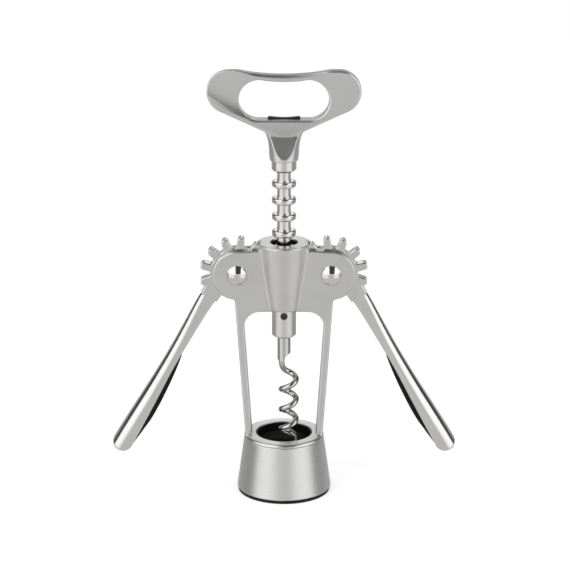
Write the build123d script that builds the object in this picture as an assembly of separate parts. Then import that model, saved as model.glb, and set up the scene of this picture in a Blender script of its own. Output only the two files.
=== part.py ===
from build123d import *
import math
import os

# Wing corkscrew, in millimetres and degrees. The origin is the middle of the foot, +Z is up the
# spindle, the wings spread along X and the front faces -Y. It is drawn with the wings down.

# Clearances and cutting allowances
SEAT_GAP = 0.05
RUN_GAP = 0.05
SLIDE_GAP = 0.1
FREE_GAP = 0.3
OVERRUN = 2.0

# Base: bottle guide, skirt and the ring of the frame
FOOT_HEIGHT = 1.5
FOOT_INSET = 0.5
SKIRT_FOOT_RADIUS = 21.5
SKIRT_TOP_RADIUS = 18.2
SKIRT_TOP = 25.8
SKIRT_WALL = 0.8
SKIRT_EDGE_ROUND = 0.4
NECK_BORE_RADIUS = 15.25
NECK_BORE_TOP = 18.0
NECK_LEAD_IN = 0.8
NECK_SEAT_RADIUS = 13.6
GUIDE_WALL = 1.2
GUIDE_RIB_HEIGHT = 3.0
GUIDE_RIB_WALL = 1.4
RING_HOLE_RADIUS = 12.75
RING_TOP = 27.4
RING_THICKNESS = 3.0
RING_ROUND = 1.2
RING_HOLE_CHAMFER = 0.3
SLEEVE_WALL = 0.55
SLEEVE_RECESS = 0.3
SPIGOT_LENGTH = 5.0

# Frame casting: cheeks, barrel, legs
PIVOT_X = 21.1
PIVOT_Z = 104.0
EAR_RADIUS = 11.2
CHEEK_TOP = 116.2
FRAME_DEPTH = 10.0
FRAME_EDGE_ROUND = 0.7
BARREL_TOP = 118.4
BARREL_FOOT = 87.6
BARREL_TOP_RADIUS = 12.0
BARREL_FOOT_RADIUS = 7.7
BARREL_EDGE_ROUND = 0.5
BARREL_ROOT_ROUND = 0.6
ARCH_HEIGHT = 86.7
ARCH_ROUND = 7.2
LEG_FOOT_X = 17.68
LEG_SLOPE = 4.0
LEG_FOOT_WIDTH = 3.1
LEG_TOP_WIDTH = 3.3
LEG_CORNER_ROUND = 2.5

# Guide bush in the mouth of the barrel
BUSH_RADIUS = 6.2
BUSH_HEIGHT = 3.6
BUSH_RECESS = 0.5

# Rack spindle
RACK_RADIUS = 5.5
RACK_NECK_RADIUS = 3.1
RACK_PITCH = 7.6
RACK_RING_WIDTH = 3.0
RACK_RING_ROUND = 1.0
SPINDLE_FOOT = 74.1
SPINDLE_FOOT_CHAMFER = 0.8
COLLAR_RADIUS = 5.6
COLLAR_FOOT = 151.7
COLLAR_HEIGHT = 5.1
COLLAR_CHAMFER = 1.0
TANG_RADIUS = 2.6
TANG_LENGTH = 7.6

# Worm and its cross pin
SHANK_RADIUS = 3.0
SHANK_DEPTH = 13.0
SHANK_FOOT = 66.0
SHANK_NOTCH_RADIUS = 3.2
WIRE_RADIUS = 1.36
WIRE_SIDE_STEP = 1.1
WIRE_BACK_STEP = 1.0
WIRE_BEND_TOP = 61.6
HELIX_RADIUS = 3.38
HELIX_OFFSET = 2.1
HELIX_PITCH = 9.7
HELIX_START_ANGLE = 150.0
HELIX_TOP_HEIGHT = 57.0
HELIX_LEAD_TURN = 60.0
HELIX_TURN = 1280.0
HELIX_STEP_TURN = 90.0
HELIX_POINT_TURN = 110.0
HELIX_POINT_STEPS = 5
HELIX_POINT_RADIUS = 0.25
WORM_PIN_RADIUS = 1.6
WORM_PIN_HEIGHT = 84.9
WORM_PIN_RECESS = 0.3

# Handle
HANDLE_LOBE_RADIUS = 9.6
HANDLE_LOBE_X = 24.6
HANDLE_LOBE_RISE = 31.3
HANDLE_SADDLE_RISE = 37.7
HANDLE_SADDLE_RADIUS = 64.0
HANDLE_SADDLE_ROUND = 12.0
HANDLE_ROOT_RISE = 9.8
HANDLE_ROOT_DEPTH = 10.8
HANDLE_LOBE_DEPTH = 4.9
HANDLE_TOP_DEPTH = 4.8
HANDLE_EDGE_ROUND = 0.8
HANDLE_EDGE_BAR_SHARE = 0.45
OPENER_RADIUS = 9.0
OPENER_SPREAD = 22.0
OPENER_RISE = 27.7
OPENER_TOP_BAR = 1.9
DISH_RISE = 68.3
DISH_INNER_RADIUS = 32.4
DISH_OUTER_RADIUS = 51.0
DISH_DEPTH = 1.45
STEM_RADIUS = 6.35
STEM_HEIGHT = 16.0
STEM_FLARE = 12.5
STEM_FLARE_DEPTH = 3.9
SCOOP_FOOT_RISE = 1.2
SCOOP_TOP_RISE = 11.7
SCOOP_WEB = 5.6
LIP_WIDTH = 14.4
LIP_THICKNESS = 1.8
LIP_HEIGHT = 0.9
LIP_DIP = 0.45
LIP_DEPTH = 3.0
LIP_ROUND = 0.6
DOWEL_RADIUS = 1.0
DOWEL_RISE = 5.2
DOWEL_RECESS = 0.3

# Wings: toothed hub, arm and grip pad
HUB_WIDTH = 5.0
TEETH_PER_TURN = 13
TOOTH_COUNT = 9
TOOTH_TIP_GAP = 1.1
TOOTH_HEIGHT = 4.7
TOOTH_ROOT_WIDTH = 3.5
TOOTH_TIP_WIDTH = 3.0
TOOTH_TIP_ROUND = 1.4
TOOTH_ROOT_ROUND = 0.6
WING_ANGLE = 30.0
ARM_LENGTH = 101.0
ARM_THICKNESS = 9.9
ARM_DEPTH = 13.4
ARM_ROOT = 13.6
ARM_END_RADIUS = 12.0
PAD_DEPTH = 0.9
PAD_RISE = 2.7
PAD_WIDTH = 9.6
PAD_START = 47.0
PAD_END = 96.0

# Two-piece pivot rivets
RIVET_RADIUS = 2.5
RIVET_HEAD_RADIUS = 4.65
RIVET_HEAD_HEIGHT = 2.1
RIVET_TENON_RADIUS = 1.5
RIVET_TENON_LENGTH = 2.6

# Shares of ARM_LENGTH, ARM_THICKNESS (inner face, outer face) and ARM_DEPTH along the arm
ARM_SECTION_SHARES = (
    (0.215, 0.273, 0.970, 0.480),
    (0.300, 0.294, 0.940, 0.590),
    (0.390, 0.313, 0.909, 0.672),
    (0.570, 0.288, 0.899, 0.806),
    (0.750, 0.202, 0.950, 0.940),
    (0.930, 0.131, 1.000, 1.000),
    (1.000, 0.116, 1.000, 0.985),
)
ARM_ROOT_INNER_SHARE = 0.162
ARM_ROOT_OUTER_SHARE = 0.960
ARM_CROWN_SHARE = 0.6
ARM_SHOULDER_SHARE = 0.4
ARM_INNER_EDGE_SHARE = 0.1
ARM_INNER_WIDTH_SHARE = 0.92

# Shares of the pad's length, PAD_RISE and PAD_WIDTH along the pad
PAD_SECTION_SHARES = (
    (0.00, 0.28, 0.78),
    (0.20, 0.70, 0.86),
    (0.40, 0.92, 0.94),
    (0.60, 1.00, 1.00),
    (0.80, 0.68, 1.00),
    (1.00, 0.12, 0.90),
)

# Shares of STEM_HEIGHT, and of the growth from STEM_RADIUS to the flare's half width and depth
STEM_SECTION_SHARES = (
    (0.00, 0.00, 0.00),
    (0.32, 0.07, 0.03),
    (0.60, 0.17, 0.36),
    (0.82, 0.43, 0.84),
    (1.00, 1.00, 1.00),
)

# Sizes worked out from those above
FRAME_FRONT = FRAME_DEPTH / 2
HUB_HALF = HUB_WIDTH / 2
SLOT_HALF = HUB_HALF + FREE_GAP
TOOTH_ANGLE = 360 / TEETH_PER_TURN
TIP_RADIUS = PIVOT_X - RACK_NECK_RADIUS - TOOTH_TIP_GAP
ROOT_RADIUS = TIP_RADIUS - TOOTH_HEIGHT
SLOT_RADIUS = TIP_RADIUS + 2 * FREE_GAP
BORE_RADIUS = RACK_RADIUS + FREE_GAP
SPIGOT_RADIUS = SKIRT_TOP_RADIUS - SKIRT_WALL - SEAT_GAP
GUIDE_RADIUS = NECK_BORE_RADIUS + GUIDE_WALL
RING_UNDERSIDE = RING_TOP - RING_THICKNESS
GUIDE_TOP = RING_UNDERSIDE - SEAT_GAP
RACK_FIRST_RING = PIVOT_Z - RACK_PITCH / 2
RACK_RING_COUNT = math.floor((COLLAR_FOOT - RACK_FIRST_RING - RACK_RING_WIDTH) / RACK_PITCH) + 1
BUSH_TOP = BARREL_TOP - BUSH_RECESS
BUSH_FOOT = BUSH_TOP - BUSH_HEIGHT
COLLAR_TOP = COLLAR_FOOT + COLLAR_HEIGHT
HANDLE_FOOT = COLLAR_TOP + SEAT_GAP
SHANK_TOP = SPINDLE_FOOT + SHANK_DEPTH


def turned(points):
    """Solid of revolution about Z of a closed (radius, height) outline."""
    return revolve(Plane.XZ * make_face(Polyline(*points, close=True)), Axis.Z)


def edges_at(shape, points):
    """The edges of a shape that pass nearest to the given points."""
    return [min(shape.edges(), key=lambda edge: edge.distance_to(point)) for point in points]


def corners_at(sketch, points):
    """The corners of a flat outline that lie nearest to the given points."""
    return [min(sketch.vertices(), key=lambda corner: corner.distance_to(point)) for point in points]


def front_plane(x, z):
    """Plane of a front view, with its origin on the middle plane at a given place."""
    return Plane((x, 0, z), x_dir=(1, 0, 0), z_dir=(0, -1, 0))


def side_plane(y, z):
    """Plane of a view along X, with its origin on the middle plane at a given place."""
    return Plane((0, y, z), x_dir=(0, 1, 0), z_dir=(1, 0, 0))


def cross_cylinder(radius, half_length, plane):
    """Cylinder on a plane's axis, as long to each side of the plane."""
    return extrude(plane * Circle(radius), half_length, both=True)


def frame_outline():
    """Front view of the cheeks, legs and arch."""
    leg_rise = PIVOT_Z - RING_TOP
    leg_top_x = LEG_FOOT_X + leg_rise * math.tan(math.radians(LEG_SLOPE))
    arch_x = LEG_FOOT_X + (ARCH_HEIGHT - RING_TOP) * math.tan(math.radians(LEG_SLOPE)) - LEG_TOP_WIDTH
    foot = RING_TOP - RING_ROUND
    half = [
        (0, CHEEK_TOP),
        (PIVOT_X, PIVOT_Z + EAR_RADIUS),
        (leg_top_x, PIVOT_Z),
        (LEG_FOOT_X, RING_TOP),
        (LEG_FOOT_X, foot),
        (0, foot),
    ]
    blank = make_face(Polyline(*half, close=True))
    blank += Pos(PIVOT_X, PIVOT_Z) * Circle(EAR_RADIUS)
    across = PIVOT_X - leg_top_x
    lean = math.radians(LEG_SLOPE)
    chord = math.sqrt(EAR_RADIUS ** 2 - (across * math.cos(lean)) ** 2)
    corner_fall = chord - across * math.sin(lean)
    corner = (leg_top_x - corner_fall * math.sin(lean), PIVOT_Z - corner_fall * math.cos(lean), 0)
    blank = fillet(corners_at(blank, [corner]), LEG_CORNER_ROUND)
    window_points = [
        (-arch_x, ARCH_HEIGHT),
        (arch_x, ARCH_HEIGHT),
        (LEG_FOOT_X - LEG_FOOT_WIDTH, RING_TOP),
        (LEG_FOOT_X - LEG_FOOT_WIDTH, foot - OVERRUN),
        (LEG_FOOT_WIDTH - LEG_FOOT_X, foot - OVERRUN),
        (LEG_FOOT_WIDTH - LEG_FOOT_X, RING_TOP),
    ]
    window = make_face(Polyline(*window_points, close=True))
    arch_corners = [(-arch_x, ARCH_HEIGHT, 0), (arch_x, ARCH_HEIGHT, 0)]
    window = fillet(corners_at(window, arch_corners), ARCH_ROUND)
    return blank + mirror(blank, Plane.YZ) - window


def frame_casting():
    """Cheeks, barrel, legs, ring and spigot, cast in one piece and then bored."""
    cheeks = extrude(Plane.XZ * frame_outline(), FRAME_FRONT, both=True)
    rims = [edge for edge in cheeks.edges() if abs(edge.center().Y) > FRAME_FRONT - FRAME_EDGE_ROUND]
    cheeks = fillet(rims, FRAME_EDGE_ROUND)
    barrel = turned([
        (0, BARREL_FOOT),
        (BARREL_FOOT_RADIUS, BARREL_FOOT),
        (BARREL_TOP_RADIUS, BARREL_TOP),
        (0, BARREL_TOP),
    ])
    barrel = fillet(edges_at(barrel, [(-BARREL_TOP_RADIUS, 0, BARREL_TOP)]), BARREL_EDGE_ROUND)
    shoulder = SKIRT_TOP + SEAT_GAP
    ring = turned([
        (RING_HOLE_RADIUS, RING_UNDERSIDE),
        (GUIDE_RADIUS + SEAT_GAP, RING_UNDERSIDE),
        (GUIDE_RADIUS + SEAT_GAP, shoulder - SPIGOT_LENGTH),
        (SPIGOT_RADIUS, shoulder - SPIGOT_LENGTH),
        (SPIGOT_RADIUS, shoulder),
        (SKIRT_TOP_RADIUS, shoulder),
        (SKIRT_TOP_RADIUS, RING_TOP),
        (RING_HOLE_RADIUS, RING_TOP),
    ])
    ring = fillet(edges_at(ring, [(-SKIRT_TOP_RADIUS, 0, RING_TOP)]), RING_ROUND)
    ring = chamfer(edges_at(ring, [(-RING_HOLE_RADIUS, 0, RING_TOP)]), RING_HOLE_CHAMFER)
    body = cheeks + barrel
    middle = (BARREL_FOOT + CHEEK_TOP) / 2
    flare = (BARREL_TOP_RADIUS - BARREL_FOOT_RADIUS) / (BARREL_TOP - BARREL_FOOT)
    root_x = math.sqrt((BARREL_FOOT_RADIUS + flare * (middle - BARREL_FOOT)) ** 2 - FRAME_FRONT ** 2)
    roots = [(side * root_x, face * FRAME_FRONT, middle) for side in (-1, 1) for face in (-1, 1)]
    body = fillet(edges_at(body, roots), BARREL_ROOT_ROUND)
    body += ring
    for side in (-1, 1):
        pivot = front_plane(side * PIVOT_X, PIVOT_Z)
        body -= cross_cylinder(SLOT_RADIUS, SLOT_HALF, pivot)
        body -= cross_cylinder(RIVET_RADIUS + SEAT_GAP, FRAME_DEPTH, pivot)
    bore_height = BARREL_TOP - ARCH_HEIGHT + 2 * OVERRUN
    body -= Pos(0, 0, (BARREL_TOP + ARCH_HEIGHT) / 2) * Cylinder(BORE_RADIUS, bore_height)
    seat_foot = BUSH_FOOT - SEAT_GAP
    body -= Pos(0, 0, seat_foot + BUSH_HEIGHT) * Cylinder(BUSH_RADIUS + RUN_GAP, 2 * BUSH_HEIGHT)
    return body


def base_skirt():
    """Spun cone of sheet steel that hangs from the shoulder of the ring."""
    skirt = turned([
        (SKIRT_FOOT_RADIUS - SKIRT_WALL, FOOT_HEIGHT + SEAT_GAP),
        (SKIRT_FOOT_RADIUS, FOOT_HEIGHT + SEAT_GAP),
        (SKIRT_TOP_RADIUS, SKIRT_TOP),
        (SKIRT_TOP_RADIUS - SKIRT_WALL, SKIRT_TOP),
    ])
    rims = [(-SKIRT_FOOT_RADIUS, 0, FOOT_HEIGHT + SEAT_GAP), (-SKIRT_TOP_RADIUS, 0, SKIRT_TOP)]
    return fillet(edges_at(skirt, rims), min(SKIRT_EDGE_ROUND, SKIRT_WALL / 2))


def bottle_guide():
    """Moulded guide for the bottle's neck, with a foot flange and a sleeve that lines the ring's hole."""
    flange = SKIRT_FOOT_RADIUS - FOOT_INSET
    skirt_fall = (SKIRT_FOOT_RADIUS - SKIRT_TOP_RADIUS) / (SKIRT_TOP - FOOT_HEIGHT - SEAT_GAP)
    rib = SKIRT_FOOT_RADIUS - SKIRT_WALL - skirt_fall * GUIDE_RIB_HEIGHT - FREE_GAP / 2
    rib_top = FOOT_HEIGHT + GUIDE_RIB_HEIGHT
    sleeve = RING_HOLE_RADIUS - SEAT_GAP
    return turned([
        (NECK_BORE_RADIUS + NECK_LEAD_IN, 0),
        (flange, 0),
        (flange, FOOT_HEIGHT),
        (rib, FOOT_HEIGHT),
        (rib, rib_top),
        (rib - GUIDE_RIB_WALL, rib_top),
        (rib - GUIDE_RIB_WALL, FOOT_HEIGHT),
        (GUIDE_RADIUS, FOOT_HEIGHT),
        (GUIDE_RADIUS, GUIDE_TOP),
        (sleeve, GUIDE_TOP),
        (sleeve, RING_TOP - SLEEVE_RECESS),
        (sleeve - SLEEVE_WALL, RING_TOP - SLEEVE_RECESS),
        (sleeve - SLEEVE_WALL, GUIDE_TOP - GUIDE_WALL),
        (NECK_SEAT_RADIUS, GUIDE_TOP - GUIDE_WALL),
        (NECK_BORE_RADIUS, NECK_BORE_TOP),
        (NECK_BORE_RADIUS, NECK_LEAD_IN),
    ])


def guide_bush():
    """Plain bush on the ledge in the barrel's mouth."""
    bore = RACK_RADIUS + SLIDE_GAP
    return turned([(bore, BUSH_FOOT), (BUSH_RADIUS, BUSH_FOOT), (BUSH_RADIUS, BUSH_TOP), (bore, BUSH_TOP)])


def rack_spindle():
    """Turned spindle: plain lower end bored for the worm, ring rack, collar and tang."""
    plain_top = RACK_FIRST_RING - RACK_PITCH + RACK_RING_WIDTH / 2
    points = [
        (0, SPINDLE_FOOT),
        (RACK_RADIUS - SPINDLE_FOOT_CHAMFER, SPINDLE_FOOT),
        (RACK_RADIUS, SPINDLE_FOOT + SPINDLE_FOOT_CHAMFER),
        (RACK_RADIUS, plain_top),
        (RACK_NECK_RADIUS, plain_top),
    ]
    rims = [(RACK_RADIUS, plain_top, 0)]
    for count in range(RACK_RING_COUNT):
        foot = RACK_FIRST_RING + count * RACK_PITCH - RACK_RING_WIDTH / 2
        top = foot + RACK_RING_WIDTH
        points += [(RACK_NECK_RADIUS, foot), (RACK_RADIUS, foot), (RACK_RADIUS, top), (RACK_NECK_RADIUS, top)]
        rims += [(RACK_RADIUS, foot, 0), (RACK_RADIUS, top, 0)]
    points += [
        (RACK_NECK_RADIUS, COLLAR_FOOT),
        (COLLAR_RADIUS - COLLAR_CHAMFER, COLLAR_FOOT),
        (COLLAR_RADIUS, COLLAR_FOOT + COLLAR_CHAMFER),
        (COLLAR_RADIUS, COLLAR_TOP),
        (TANG_RADIUS, COLLAR_TOP),
        (TANG_RADIUS, HANDLE_FOOT + TANG_LENGTH),
        (0, HANDLE_FOOT + TANG_LENGTH),
    ]
    profile = make_face(Polyline(*points, close=True))
    profile = fillet(corners_at(profile, rims), RACK_RING_ROUND)
    spindle = revolve(Plane.XZ * profile, Axis.Z)
    socket = SHANK_DEPTH + SEAT_GAP
    spindle -= Pos(0, 0, SPINDLE_FOOT) * Cylinder(SHANK_RADIUS + SEAT_GAP, 2 * socket)
    pin_plane = front_plane(0, WORM_PIN_HEIGHT)
    spindle -= cross_cylinder(WORM_PIN_RADIUS + SEAT_GAP, 2 * RACK_RADIUS, pin_plane)
    dowel_plane = side_plane(0, HANDLE_FOOT + DOWEL_RISE)
    spindle -= cross_cylinder(DOWEL_RADIUS + SEAT_GAP, 2 * TANG_RADIUS, dowel_plane)
    return spindle


def helix_point(angle):
    """Place and downward direction of the worm's wire, after turning by an angle from its start."""
    turn = math.radians(HELIX_START_ANGLE - angle)
    fall = HELIX_PITCH / (2 * math.pi)
    place = Vector(
        HELIX_OFFSET + HELIX_RADIUS * math.cos(turn),
        HELIX_RADIUS * math.sin(turn),
        HELIX_TOP_HEIGHT - fall * math.radians(angle),
    )
    heading = Vector(HELIX_RADIUS * math.sin(turn), -HELIX_RADIUS * math.cos(turn), -fall)
    return place, heading.normalized()


def biarc(start, start_heading, end, end_heading):
    """Two tangent arcs that join two places, along the headings there."""
    span = end - start
    lean = span.dot(start_heading + end_heading)
    bend = 2 * (1 - start_heading.dot(end_heading))
    reach = (math.sqrt(lean ** 2 + bend * span.dot(span)) - lean) / bend
    joint = (start + start_heading * reach + end - end_heading * reach) / 2
    first = TangentArc(start, joint, tangent=start_heading)
    return [first, TangentArc(joint, end, tangent=first % 1)]


def worm():
    """Wire worm: round shank with a notch, a bend, then a right-hand helix ground to a point."""
    shank_middle = (SHANK_TOP + SHANK_FOOT - SHANK_NOTCH_RADIUS) / 2
    shank = Pos(0, 0, shank_middle) * Cylinder(SHANK_RADIUS, SHANK_TOP - SHANK_FOOT + SHANK_NOTCH_RADIUS)
    wire_top = Vector(-WIRE_SIDE_STEP, WIRE_BACK_STEP, SHANK_FOOT)
    bend_top = Vector(-WIRE_SIDE_STEP, WIRE_BACK_STEP, WIRE_BEND_TOP)
    notch_x = WIRE_RADIUS + SHANK_NOTCH_RADIUS - WIRE_SIDE_STEP
    notch_foot = SHANK_FOOT - SHANK_NOTCH_RADIUS
    shank -= cross_cylinder(SHANK_NOTCH_RADIUS, 2 * SHANK_RADIUS, front_plane(notch_x, notch_foot))
    shank -= cross_cylinder(WORM_PIN_RADIUS + SEAT_GAP, 2 * SHANK_RADIUS, front_plane(0, WORM_PIN_HEIGHT))
    down = Vector(0, 0, -1)
    route = [Line(wire_top, bend_top), *biarc(bend_top, down, *helix_point(HELIX_LEAD_TURN))]
    full_turn = HELIX_TURN - HELIX_POINT_TURN
    steps = math.ceil((full_turn - HELIX_LEAD_TURN) / HELIX_STEP_TURN)
    step_turn = (full_turn - HELIX_LEAD_TURN) / steps
    places = [helix_point(HELIX_LEAD_TURN + step_turn * step) for step in range(steps + 1)]
    for here, there in zip(places, places[1:]):
        route += biarc(*here, *there)
    section = Plane(wire_top, z_dir=down) * Circle(WIRE_RADIUS)
    wire = sweep(section, path=Wire(route))
    rings = []
    for step in range(HELIX_POINT_STEPS + 1):
        share = step / HELIX_POINT_STEPS
        place, heading = helix_point(full_turn + HELIX_POINT_TURN * share)
        radius = WIRE_RADIUS + (HELIX_POINT_RADIUS - WIRE_RADIUS) * share
        rings.append(Plane(place, z_dir=heading) * Circle(radius))
    return shank + wire + loft(rings)


def worm_pin():
    """Cross pin through the spindle's lower end and the worm's shank."""
    half_length = RACK_RADIUS - WORM_PIN_RECESS
    return cross_cylinder(WORM_PIN_RADIUS, half_length, front_plane(0, WORM_PIN_HEIGHT))


def tangent_place(centre, radius, place):
    """Where the lower tangent from a place touches a circle to its right."""
    reach = math.hypot(centre[0] - place[0], centre[1] - place[1])
    aim = math.atan2(centre[1] - place[1], centre[0] - place[0]) - math.asin(radius / reach)
    length = math.sqrt(reach ** 2 - radius ** 2)
    return (place[0] + length * math.cos(aim), place[1] + length * math.sin(aim))


def handle_outline():
    """Front view of the loop, without its hole: two round lobes, a saddle and a V below."""
    lobe = (HANDLE_LOBE_X, HANDLE_FOOT + HANDLE_LOBE_RISE)
    root = (0, HANDLE_FOOT + HANDLE_ROOT_RISE)
    top = lobe[1] + HANDLE_LOBE_RADIUS
    touch = tangent_place(lobe, HANDLE_LOBE_RADIUS, root)
    half = make_face(Polyline(root, touch, lobe, (lobe[0], top), (0, top), close=True))
    half += Pos(*lobe) * Circle(HANDLE_LOBE_RADIUS)
    blank = half + mirror(half, Plane.YZ)
    saddle = HANDLE_FOOT + HANDLE_SADDLE_RISE
    blank -= Pos(0, saddle + HANDLE_SADDLE_RADIUS) * Circle(HANDLE_SADDLE_RADIUS)
    crest = math.sqrt(HANDLE_SADDLE_RADIUS ** 2 - (HANDLE_SADDLE_RADIUS - top + saddle) ** 2)
    return fillet(corners_at(blank, [(-crest, top, 0), (crest, top, 0)]), HANDLE_SADDLE_ROUND)


def opener_hole():
    """Front view of the opener's hole, whose top follows the saddle above it."""
    hole = Pos(0, HANDLE_FOOT + OPENER_RISE) * SlotCenterToCenter(OPENER_SPREAD, 2 * OPENER_RADIUS)
    saddle = HANDLE_FOOT + HANDLE_SADDLE_RISE
    bar = HANDLE_SADDLE_RADIUS + OPENER_TOP_BAR
    return hole - Pos(0, saddle + HANDLE_SADDLE_RADIUS) * Circle(bar)


def handle_side():
    """Side view of the loop: deep at the root, drawn in to a slim top bar."""
    root = HANDLE_FOOT + HANDLE_ROOT_RISE
    top = HANDLE_FOOT + HANDLE_LOBE_RISE + HANDLE_LOBE_RADIUS + HANDLE_EDGE_ROUND
    back = ThreePointArc(
        (HANDLE_ROOT_DEPTH / 2, root),
        (HANDLE_LOBE_DEPTH / 2, HANDLE_FOOT + HANDLE_LOBE_RISE),
        (HANDLE_TOP_DEPTH / 2, top),
    )
    front = mirror(back, Plane.YZ)
    return make_face([back, front, Line(back @ 0, front @ 0), Line(back @ 1, front @ 1)])


def handle_stem():
    """Flared stem below the loop, round at its foot."""
    sections = []
    for height_share, width_share, depth_share in STEM_SECTION_SHARES:
        half_width = STEM_RADIUS + (STEM_FLARE - STEM_RADIUS) * width_share
        half_depth = STEM_RADIUS + (STEM_FLARE_DEPTH - STEM_RADIUS) * depth_share
        level = Plane.XY.offset(HANDLE_FOOT + STEM_HEIGHT * height_share)
        if half_width > half_depth:
            sections.append(level * Ellipse(half_width, half_depth))
        else:
            sections.append(level * Circle(half_width))
    return loft(sections)


def handle_dish(face):
    """Hollow sweep across both lobes on one face, which ends below in a crease under the hole."""
    half = (DISH_OUTER_RADIUS - DISH_INNER_RADIUS) / 2
    tube = (half ** 2 + DISH_DEPTH ** 2) / (2 * DISH_DEPTH)
    middle = face * (HANDLE_LOBE_DEPTH / 2 - DISH_DEPTH + tube)
    dish = Pos(0, middle) * Rot(90, 0, 0) * Torus(DISH_INNER_RADIUS + half, tube)
    dish &= Rot(90, 0, 0) * Cylinder(DISH_OUTER_RADIUS, 2 * abs(middle))
    return Pos(0, 0, HANDLE_FOOT + DISH_RISE) * dish


def stem_scoop(face):
    """Slanting cut in one face of the stem, which runs out below and ends in a shoulder above."""
    foot = HANDLE_FOOT + SCOOP_FOOT_RISE
    top = HANDLE_FOOT + SCOOP_TOP_RISE
    clear = STEM_RADIUS + OVERRUN
    corners = [(STEM_RADIUS, foot), (clear, foot), (clear, top), (SCOOP_WEB / 2, top)]
    side = make_face(Polyline(*[(face * across, level) for across, level in corners], close=True))
    return extrude(Plane.YZ * side, STEM_FLARE, both=True)


def handle():
    """Cast loop handle with its opener hole, dished lobes and slanting scoops in its stem."""
    loop = extrude(Plane.XZ * handle_outline(), HANDLE_ROOT_DEPTH, both=True)
    loop &= extrude(Plane.YZ * handle_side(), 2 * HANDLE_LOBE_X, both=True)
    loop -= extrude(Plane.XZ * opener_hole(), HANDLE_ROOT_DEPTH, both=True)
    rims = [edge for edge in loop.edges() if abs(edge.center().Y) > HANDLE_EDGE_ROUND]
    loop = fillet(rims, min(HANDLE_EDGE_ROUND, OPENER_TOP_BAR * HANDLE_EDGE_BAR_SHARE))
    for face in (-1, 1):
        loop -= handle_dish(face)
    body = loop + handle_stem()
    for face in (-1, 1):
        body -= stem_scoop(face)
    body -= Pos(0, 0, HANDLE_FOOT) * Cylinder(TANG_RADIUS + SEAT_GAP, 2 * (TANG_LENGTH + SEAT_GAP))
    dowel_plane = side_plane(0, HANDLE_FOOT + DOWEL_RISE)
    body -= cross_cylinder(DOWEL_RADIUS + SEAT_GAP, 2 * STEM_RADIUS, dowel_plane)
    body -= lip_blank(SEAT_GAP)
    return body


def lip_blank(gap):
    """Steel lip, or its pocket where a gap is given."""
    edge = HANDLE_FOOT + OPENER_RISE - OPENER_RADIUS
    height = LIP_HEIGHT + LIP_DEPTH
    blank = Box(LIP_WIDTH + 2 * gap, LIP_THICKNESS + 2 * gap, height + 2 * gap)
    return Pos(0, LIP_THICKNESS / 2, edge + LIP_HEIGHT - height / 2) * blank


def opener_lip():
    """Hardened steel lip, hollowed along its top, that takes the edge of a bottle cap."""
    lip = lip_blank(0)
    top = HANDLE_FOOT + OPENER_RISE - OPENER_RADIUS + LIP_HEIGHT
    corners = [(side * LIP_WIDTH / 2, LIP_THICKNESS / 2, top) for side in (-1, 1)]
    lip = fillet(edges_at(lip, corners), LIP_ROUND)
    half = LIP_WIDTH / 2 - 2 * LIP_ROUND
    hollow = (half ** 2 + LIP_DIP ** 2) / (2 * LIP_DIP)
    return lip - cross_cylinder(hollow, 2 * LIP_THICKNESS, front_plane(0, top - LIP_DIP + hollow))


def handle_dowel():
    """Cross dowel through the handle's stem and the spindle's tang."""
    plane = side_plane(0, HANDLE_FOOT + DOWEL_RISE)
    return cross_cylinder(DOWEL_RADIUS, STEM_RADIUS - DOWEL_RECESS, plane)


def tooth_outline():
    """One tooth of the hub along +X, from within the root circle to its rounded tip."""
    root_x = math.sqrt(ROOT_RADIUS ** 2 - (TOOTH_ROOT_WIDTH / 2) ** 2)
    flank = [
        (ROOT_RADIUS - TOOTH_HEIGHT, TOOTH_ROOT_WIDTH / 2),
        (root_x, TOOTH_ROOT_WIDTH / 2),
        (TIP_RADIUS, TOOTH_TIP_WIDTH / 2),
    ]
    other_flank = [(along, -across) for along, across in reversed(flank)]
    tooth = make_face(Polyline(*flank, *other_flank, close=True))
    tips = [(TIP_RADIUS, side * TOOTH_TIP_WIDTH / 2, 0) for side in (-1, 1)]
    return fillet(corners_at(tooth, tips), TOOTH_TIP_ROUND)


def hub_outline():
    """Toothed hub of a wing, seen from the front, with the arm along +X and outwards +Y."""
    hub = Circle(ROOT_RADIUS)
    tooth = tooth_outline()
    root_turn = math.degrees(math.asin(TOOTH_ROOT_WIDTH / 2 / ROOT_RADIUS))
    roots = []
    for count in range(TOOTH_COUNT):
        turn = 270 - WING_ANGLE + TOOTH_ANGLE * (1 - count)
        hub += Rot(0, 0, turn) * tooth
        for side in (-1, 1):
            corner = math.radians(turn + side * root_turn)
            roots.append((ROOT_RADIUS * math.cos(corner), ROOT_RADIUS * math.sin(corner), 0))
    hub = fillet(corners_at(hub, roots), TOOTH_ROOT_ROUND)
    inner = ARM_THICKNESS * ARM_ROOT_INNER_SHARE
    outer = ARM_THICKNESS * ARM_ROOT_OUTER_SHARE
    neck_end = ARM_ROOT + HUB_HALF
    neck = make_face(Polyline((0, 0), (neck_end, inner), (neck_end, outer), (0, outer), close=True))
    return hub + neck


def arm_section(along, inner, outer, depth):
    """Section of the arm at a distance from the pivot: flat inside, crowned outside."""
    half = depth / 2
    inner_half = half * ARM_INNER_WIDTH_SHARE
    side = outer - half * ARM_CROWN_SHARE
    rim = [
        Line((inner, inner_half), (inner, -inner_half)),
        Line((inner, -inner_half), (side, -half)),
        ThreePointArc((side, -half), (outer, 0), (side, half)),
        Line((side, half), (inner, inner_half)),
    ]
    section = make_face(rim)
    shoulders = [(side, face * half, 0) for face in (-1, 1)]
    section = fillet(corners_at(section, shoulders), half * ARM_SHOULDER_SHARE)
    inner_edges = [(inner, face * inner_half, 0) for face in (-1, 1)]
    section = fillet(corners_at(section, inner_edges), half * ARM_INNER_EDGE_SHARE)
    return Plane((along, 0, 0), x_dir=(0, 1, 0), z_dir=(1, 0, 0)) * section


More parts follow.
